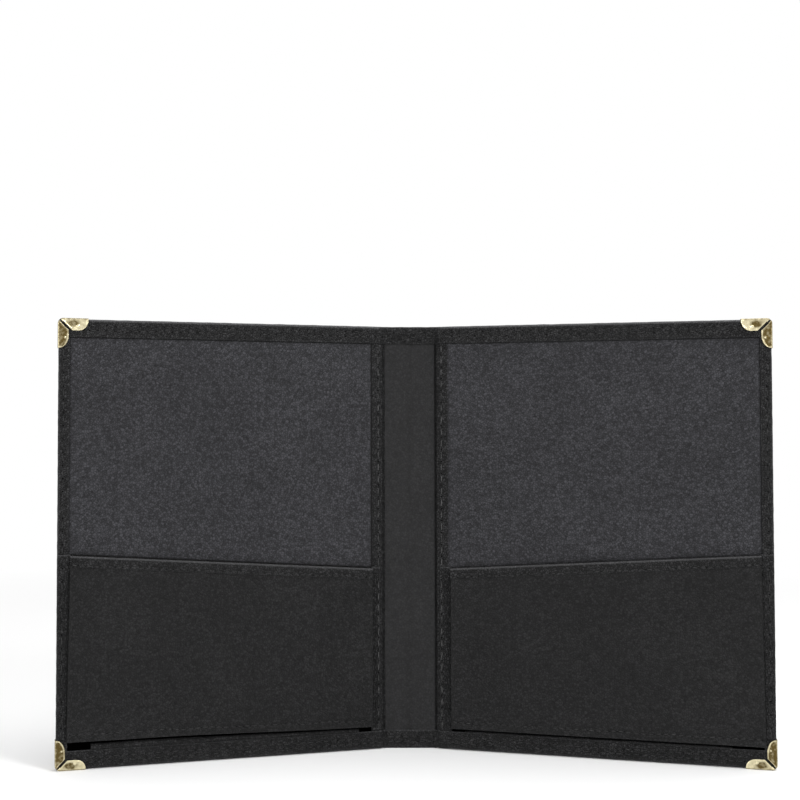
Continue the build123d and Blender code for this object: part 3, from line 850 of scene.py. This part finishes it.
def pocket_flange(pocket, edge_name):
    """The gusset's flat flange: over the side band at the outer end, over the hinge strip inside."""
    outer = edge_name == "outer"
    low = pocket.outer_at(pocket.mouth_out) - 0.4 if outer else board_start + 0.7
    high = bound_x - 0.15 if outer else pocket.inner + 0.6
    ground = band_in if outer else lining_in + STRIP_LIFT
    foot = pocket.flange_foot if outer else band_bottom + 0.3
    top = pocket.mouth_out + 0.6 if outer else pocket.mouth_in + 0.8
    row = leaf_width - SIDE_ROW if outer else STRIP_ROW
    pitch = SIDE_PITCH_IN if outer else STRIP_PITCH
    x = ruler(low, high, 0.5, 0.45)[None, :]
    z = ruler(foot, top, 1.0, 0.6)[:, None]
    edge = np.minimum(np.minimum(x - low, high - x), np.minimum(z - foot, top - z))
    hem = 0.28 * ease(z, top - HEM_TALL - 0.25, top - HEM_TALL + 0.25)
    seed = 240 if outer else 250
    face = ground + 0.5 + hem - seam_dip(x, z, row, pitch, 0.22, 0.7) + 0.06 * ripple(x, z, 5, seed)
    face = face - roll(edge, 0.45)
    # Painted highlight along the flange's top edge, and a lighter rim.
    wear_and_highlight = 0.5 * np.exp(-((top - z) / 0.7) ** 2) + 0.25 * np.exp(-(edge / 0.5) ** 2)
    beside = x - pocket.outer_at(z) if outer else pocket.inner - x
    # Painted shade in the groove beside the pocket's end.
    groove = 0.6 * crevice(beside, 0.2, 1.0) * ease(pocket.mouth_out - 1 - z, 0, 2)
    piece = shell(f"{pocket.side}_pocket_{edge_name}_flange", pocket.side, grid(x, face, z),
                  grid(x, ground + 0.02, z), TRIM, 0.5 * wear_and_highlight, groove)
    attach(piece, pocket.side + "_cover")
    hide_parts(f"{pocket.side}_pocket_{edge_name}_gusset")


def pocket_pleat(pocket, edge_name):
    """The pleated wall behind a pocket's end."""
    outer = edge_name == "outer"
    inward = -1 if outer else 1
    path = np.array([(0.0, 4.15), (0.5, 3.75), (1.8, 3.85), (3.2, 4.3), (3.7, 4.75), (3.2, 5.2),
                     (1.8, 5.6), (0.6, 5.95), (0.3, 6.25)])
    steps = np.linspace(0, len(path) - 1, 33)
    share = np.array([np.interp(steps, range(len(path)), path[:, axis]) for axis in (0, 1)])
    for _ in range(3):
        share[:, 1:-1] = (share[:, :-2] + 2 * share[:, 1:-1] + share[:, 2:]) / 4
    slope = np.gradient(share, axis=1)
    slope /= np.linalg.norm(slope, axis=0)
    foot = pocket.flange_foot + 0.5
    top = (pocket.mouth_out if outer else pocket.mouth_in) - 3.0
    z = ruler(foot, top, 2.4, 0.4)[:, None]
    edge_x = pocket.outer_at(z) - 0.3 if outer else pocket.inner + 0.3 + 0 * z
    wave = 0.12 * ripple(z, share[0][None, :], 9, 260)
    x = edge_x + inward * (share[0] + wave)
    x_back = edge_x + inward * (share[0] + wave - 0.3 * slope[1])
    depth = share[1][None, :] + 0 * z
    piece = shell(f"{pocket.side}_pocket_{edge_name}_pleat", pocket.side, grid(x, depth, z),
                  grid(x_back, depth + 0.3 * slope[0], z), POCKET)
    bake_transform(piece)
    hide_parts(f"{pocket.side}_pocket_{edge_name}_gusset")


def foot_shade_sheet(pocket):
    """A near-black sheet against the lining along the pocket's foot: painted shade seen in the recesses."""
    x = ruler(pocket.inner + 0.4, pocket.outer - 0.4, 2.0)[None, :]
    z = ruler(band_bottom - 0.8, pocket.foot + 10, 0.9)[:, None]
    face = lining_in + 0.3 + 0.1 * ripple(x, z, 6, 280)
    piece = shell(pocket.side + "_pocket_foot_shade_sheet", pocket.side, grid(x, face, z),
                  grid(x, lining_in + 0.02, z), SHADE_SHEET, None, 0.92)
    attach(piece, pocket.side + "_cover")
    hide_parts(pocket.side + "_pocket_bottom_gusset")


def foot_pleat(pocket):
    """The pleat that closes the pocket's foot, a soft roll between the band and the pocket front."""
    low, high = flat_box("pocket_bottom_gusset", pocket.side)
    v = np.linspace(0, 1, 15)[:, None]
    far = high.x + (5.5 if pocket.side == "front" else 0.0)
    x = ruler(low.x, far, 1.4, 1.0)[None, :]
    end = np.minimum(x - low.x, far - x)
    crown = np.sin(np.pi * np.clip(0.08 + 0.84 * v, 0, 1)) ** 0.45
    face = lining_in + (high.y - lining_in) * crown * (1 - 0.7 * roll(end, 1.2) / 1.2)
    face = face + 0.12 * ripple(x, v * 3, 7, 270)
    tall = high.z - low.z - 0.1 + 0.7 * (pocket.foot_at(x) - pocket.foot)
    z = low.z + 0.1 + tall * v + 0.15 * ripple(x, 0 * x, 16, 271) * v
    # Painted shade over the pleat's upper half, under the pocket front.
    piece = shell(pocket.side + "_pocket_foot_pleat", pocket.side, grid(x, face, z),
                  grid(x, lining_in + 0.05, z), TRIM, None,
                  0.55 * ease(v, 0.45, 1.0))
    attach(piece, pocket.side + "_cover")
    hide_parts(pocket.side + "_pocket_bottom_gusset")


# ---- stitches ----
def seam_tree():
    """Geometry nodes that lay a stitch on each point of a seam row, and a needle hole between each two."""
    tree = bpy.data.node_groups.new("seam_stitches", "GeometryNodeTree")
    tree.interface.new_socket("Rows", in_out="INPUT", socket_type="NodeSocketGeometry")
    for name, kind in (("Thread width", "Float"), ("Thread rise", "Float"), ("Stitch share", "Float"),
                       ("Hole share", "Float"), ("Tilt", "Float"), ("Seed", "Int"),
                       ("Thread", "Material"), ("Hole", "Material")):
        tree.interface.new_socket(name, in_out="INPUT", socket_type="NodeSocket" + kind)
    tree.interface.new_socket("Stitches", in_out="OUTPUT", socket_type="NodeSocketGeometry")
    given = add(tree, "NodeGroupInput").outputs
    curve = add(tree, "GeometryNodeMeshToCurve", None, {"Mesh": given["Rows"]})
    points = add(tree, "GeometryNodeCurveToPoints", {"mode": "EVALUATED"}, {"Curve": curve.outputs[0]})
    looks = add(tree, "GeometryNodeInputNamedAttribute", {"data_type": "FLOAT_VECTOR"}, {"Name": "facing"})
    pitch = add(tree, "GeometryNodeInputNamedAttribute", {"data_type": "FLOAT"}, {"Name": "pitch"}).outputs[0]
    facing = add(tree, "FunctionNodeAxesToRotation", {"primary_axis": "X", "secondary_axis": "Z"}, {
        0: points.outputs["Tangent"], 1: looks.outputs[0]})
    slip = add(tree, "FunctionNodeRandomValue", {"data_type": "FLOAT"}, {"Seed": given["Seed"]})
    slip.inputs[2].default_value = -1.0
    slip.inputs[3].default_value = 1.0
    tilt = maths(tree, "MULTIPLY", slip.outputs[1], given["Tilt"])
    turn = add(tree, "ShaderNodeCombineXYZ", None, {"Z": tilt})
    turned = add(tree, "FunctionNodeEulerToRotation", None, {0: turn.outputs[0]})
    laid = add(tree, "FunctionNodeRotateRotation", {"rotation_space": "LOCAL"}, {
        0: facing.outputs[0], 1: turned.outputs[0]})
    length = maths(tree, "MULTIPLY", pitch, given["Stitch share"])
    size = add(tree, "ShaderNodeCombineXYZ", None, {
        "X": length, "Y": given["Thread width"], "Z": given["Thread rise"]})
    bead = add(tree, "GeometryNodeMeshUVSphere", None, {"Segments": 8, "Rings": 6, "Radius": 0.5})
    stitches = add(tree, "GeometryNodeInstanceOnPoints", None, {
        "Points": points.outputs[0], "Instance": bead.outputs[0], "Rotation": laid.outputs[0],
        "Scale": size.outputs[0]})
    half = maths(tree, "MULTIPLY", pitch, 0.5)
    step = add(tree, "ShaderNodeVectorMath", {"operation": "SCALE"}, {
        0: points.outputs["Tangent"], "Scale": half})
    between = add(tree, "GeometryNodeSetPosition", None, {
        "Geometry": points.outputs[0], "Offset": step.outputs[0]})
    hole_wide = maths(tree, "MULTIPLY", pitch, given["Hole share"])
    hole_size = add(tree, "ShaderNodeCombineXYZ", None, {
        "X": hole_wide, "Y": hole_wide, "Z": given["Thread width"]})
    dot = add(tree, "GeometryNodeMeshUVSphere", None, {"Segments": 8, "Rings": 4, "Radius": 0.5})
    marked = add(tree, "GeometryNodeStoreNamedAttribute", {"data_type": "BOOLEAN", "domain": "FACE"}, {
        "Geometry": dot.outputs[0], "Name": "needle_hole_shade", "Value": True})
    holes = add(tree, "GeometryNodeInstanceOnPoints", None, {
        "Points": between.outputs[0], "Instance": marked.outputs[0], "Rotation": facing.outputs[0],
        "Scale": hole_size.outputs[0]})
    both = add(tree, "GeometryNodeJoinGeometry")
    tree.links.new(stitches.outputs[0], both.inputs[0])
    tree.links.new(holes.outputs[0], both.inputs[0])
    real = add(tree, "GeometryNodeRealizeInstances", None, {"Geometry": both.outputs[0]})
    sewn = add(tree, "GeometryNodeSetMaterial", None, {
        "Geometry": real.outputs[0], "Material": given["Thread"]})
    is_hole = add(tree, "GeometryNodeInputNamedAttribute", {"data_type": "BOOLEAN"}, {
        "Name": "needle_hole_shade"})
    pierced = add(tree, "GeometryNodeSetMaterial", None, {
        "Geometry": sewn.outputs[0], "Selection": is_hole.outputs[0], "Material": given["Hole"]})
    add(tree, "NodeGroupOutput", None, {"Stitches": pierced.outputs[0]})
    return tree


SEAMS = seam_tree()
THREAD_WIDE = 0.56
THREAD_RISE = 0.42
STITCH_SHARE = 0.62           # of the pitch
HOLE_SHARE = 0.13             # of the pitch
STITCH_TILT = 0.07            # radians, at most
ROW_END = 3.6                 # a row stops this far from the brass


def level_row(x, z, depth, pitch, face):
    """A seam row along the leaf: x and z are each a pair of end values."""
    count = max(2, int(round(abs(x[1] - x[0]) / pitch)) + 1)
    return [(a, depth, b) for a, b in zip(np.linspace(*x, count), np.linspace(*z, count))], pitch, face


def upright_row(x, z, depth, pitch, face):
    """A seam row up the leaf at one x."""
    count = max(2, int(round((z[1] - z[0]) / pitch)) + 1)
    return [(x, depth, b) for b in np.linspace(*z, count)], pitch, face


def sew(name, side, rows, body, seed, thread, *nodes):
    """Make the stitches of several rows as one mesh that rides with a body."""
    place = PLACES[side]
    points, edges, facing, pitches = [], [], [], []
    for row, pitch, face in rows:
        look = (place.to_3x3() @ Vector((0, face, 0))).normalized()
        edges += [(len(points) + i, len(points) + i + 1) for i in range(len(row) - 1)]
        points += [place @ Vector(point) for point in row]
        facing += [look] * len(row)
        pitches += [pitch * MM] * len(row)
    mesh = bpy.data.meshes.new(name + "_rows")
    mesh.from_pydata(points, edges, [])
    mesh.attributes.new("facing", "FLOAT_VECTOR", "POINT").data.foreach_set("vector", np.ravel(facing))
    mesh.attributes.new("pitch", "FLOAT", "POINT").data.foreach_set("value", pitches)
    guide = in_scene(name + "_rows", mesh)
    modifier = guide.modifiers.new("stitches", "NODES")
    modifier.node_group = SEAMS
    sockets = {item.name: item.identifier for item in SEAMS.interface.items_tree if item.in_out == "INPUT"}
    values = {"Thread width": THREAD_WIDE * MM, "Thread rise": THREAD_RISE * MM, "Stitch share": STITCH_SHARE,
              "Hole share": HOLE_SHARE, "Tilt": STITCH_TILT, "Seed": seed, "Thread": thread, "Hole": NEEDLE}
    for label, value in values.items():
        modifier[sockets[label]] = value
    sewn = bpy.data.meshes.new_from_object(guide.evaluated_get(bpy.context.evaluated_depsgraph_get()))
    sewn.name = name
    bpy.data.objects.remove(guide)
    sewn.polygons.foreach_set("use_smooth", [True] * len(sewn.polygons))
    piece = in_scene(name, sewn)
    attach(piece, body)
    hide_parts(*nodes)


def band_rows(x, inside):
    rows = []
    for row in BAND_ROWS:
        for z in (row, leaf_height - row):
            rows.append(level_row(x, (z, z), inside - 0.12, BAND_PITCH, INSIDE))
            rows.append(level_row(x, (z, z), band_out + 0.12, BAND_PITCH, OUTSIDE))
    return rows


def leaf_stitches(side, pocket):
    end = BRASS_LEG + ROW_END
    rows = band_rows((board_start + 1.6, leaf_width - end), band_in)
    side_x = leaf_width - SIDE_ROW
    rows.append(upright_row(side_x, (pocket.mouth_out + 3, leaf_height - end), band_in - 0.12,
                            SIDE_PITCH_IN, INSIDE))
    rows.append(upright_row(side_x, (end, pocket.mouth_out - 4), band_in + 0.36, SIDE_PITCH_IN, INSIDE))
    rows.append(upright_row(side_x, (end, leaf_height - end), band_out + 0.12, SIDE_PITCH_OUT, OUTSIDE))
    sew(side + "_leaf_stitches", side, rows, side + "_cover", 11, THREAD, side + "_seam_thread")
    rows = [upright_row(STRIP_ROW, (pocket.mouth_in + 4, band_top - 4), lining_in, STRIP_PITCH, INSIDE),
            upright_row(STRIP_ROW, (band_bottom + 4, pocket.mouth_in - 4), lining_in + 0.48,
                        STRIP_PITCH, INSIDE),
            upright_row(STRIP_ROW, (band_bottom + 4, band_top - 4), skin_out - 0.28, STRIP_PITCH, OUTSIDE)]
    sew(side + "_strip_stitches", side, rows, side + "_cover", 12, HIGHLIT_THREAD, side + "_seam_thread")


def pocket_stitches(pocket):
    start, end = pocket.inner + 3, pocket.outer_at(pocket.mouth_out) - 3
    hem = (pocket.mouth(start) - HEM_ROW, pocket.mouth(end) - HEM_ROW)
    rows = [level_row((start, end), hem, pocket.front + HEM_LIFT, POCKET_PITCH, INSIDE)]
    foot, pitch, face = level_row((start, end), (0, 0), pocket.front - 0.1, POCKET_PITCH, INSIDE)
    waved = []
    for x, depth, _ in foot:
        wander = 0.5 * math.sin(x / 5.5) * math.sin(x / 31)
        waved.append((x, depth, float(pocket.foot_at(x)) + FOOT_ROW + wander))
    rows.append((waved, pitch, face))
    sew(pocket.side + "_pocket_stitches", pocket.side, rows, pocket.side + "_pocket", 13, THREAD,
        pocket.side + "_pocket_thread")


# ---- put the folder together ----
spine_lining()
for side in ("front", "back"):
    pocket = Pocket(side)
    spine_skin(side)
    outer_panel(side)
    lining(side, pocket)
    inner_strip(side)
    outer_strip(side)
    side_band(side)
    for end in ("top", "bottom"):
        end_band(side, end)
        brass_corner(side, end)
    pocket_front(pocket)
    pocket_hem(pocket)
    for edge_name in ("outer", "inner"):
        pocket_flange(pocket, edge_name)
        pocket_pleat(pocket, edge_name)
    foot_shade_sheet(pocket)
    foot_pleat(pocket)
    leaf_stitches(side, pocket)
    pocket_stitches(pocket)
sew("spine_stitches", "spine", band_rows((-2.5 * BAND_PITCH, 2.5 * BAND_PITCH), band_depth),
    "spine", 17, THREAD, "spine_thread")
for name, node in frame["nodes"].items():
    if name.endswith("_board"):
        node.data.materials.clear()
        node.data.materials.append(BOARD)


# ---- studio ----
FLOOR_REACH = 40.0
FOCAL_LENGTH = 53.55
CAMERA_PLACE = (-0.0635, -0.876, 0.2252)
CAMERA_PITCH = 1.86           # degrees above level
CAMERA_TURN = -0.24           # degrees


def floor():
    mesh = bpy.data.meshes.new("floor")
    ends = ((-1, -1), (1, -1), (1, 1), (-1, 1))
    mesh.from_pydata([(x * FLOOR_REACH, y * FLOOR_REACH, 0) for x, y in ends], [], [(0, 1, 2, 3)])
    material, tree = blank_material("studio_floor")
    place = object_place(tree)
    away = add(tree, "ShaderNodeVectorMath", {"operation": "LENGTH"}, {0: place}).outputs["Value"]
    shader = add(tree, "ShaderNodeBsdfPrincipled", None, {
        "Base Color": grey(0.87), "Roughness": 0.9, "Specular IOR Level": 0.0})
    cove = add(tree, "ShaderNodeEmission", None, {"Color": grey(1.0), "Strength": 1.0})
    sweep = add(tree, "ShaderNodeMixShader", None, {
        0: spread(tree, away, 0.3, 1.3), 1: shader.outputs[0], 2: cove.outputs[0]})
    add(tree, "ShaderNodeOutputMaterial", None, {"Surface": sweep.outputs[0]})
    mesh.materials.append(material)
    ground = in_scene("floor", mesh)


def softbox(name, place, aim, size, power):
    light = bpy.data.lights.new(name, "AREA")
    light.shape = "SQUARE"
    light.size = size
    light.energy = power
    box = in_scene(name, light)
    box.location = place
    box.rotation_euler = (Vector(aim) - Vector(place)).to_track_quat("-Z", "Y").to_euler()


def white_room():
    """A white cove: full white round the horizon, softer overhead."""
    world = bpy.data.worlds.new("white_cove")
    bpy.context.scene.world = world
    world.use_nodes = True
    tree = world.node_tree
    tree.nodes.clear()
    way = add(tree, "ShaderNodeTexCoord").outputs["Generated"]
    up = add(tree, "ShaderNodeSeparateXYZ", None, {0: way}).outputs[2]
    level = spread(tree, up, 0.42, 0.85, 1.0, 0.55)
    background = add(tree, "ShaderNodeBackground", None, {"Color": grey(1.0), "Strength": level})
    add(tree, "ShaderNodeOutputWorld", None, {"Surface": background.outputs[0]})


def camera():
    lens = bpy.data.cameras.new("camera")
    lens.sensor_width = 36.0
    lens.lens = FOCAL_LENGTH
    lens.shift_x = 0.09
    lens.clip_start, lens.clip_end = 0.01, 200
    eye = in_scene("camera", lens)
    eye.location = CAMERA_PLACE
    eye.rotation_euler = (math.radians(90 + CAMERA_PITCH), 0, math.radians(CAMERA_TURN))
    bpy.context.scene.camera = eye


floor()
softbox("key_light", (0.9, -0.95, 0.95), (0, 0, 0.15), 0.35, 9.0)
softbox("low_light", (-1.05, -1.15, 0.42), (0.08, 0, 0.22), 0.4, 7.0)
softbox("top_light", (0.4, -0.1, 1.55), (0, 0, 0), 1.0, 14.0)
white_room()
camera()
bpy.context.scene.view_settings.view_transform = "Standard"
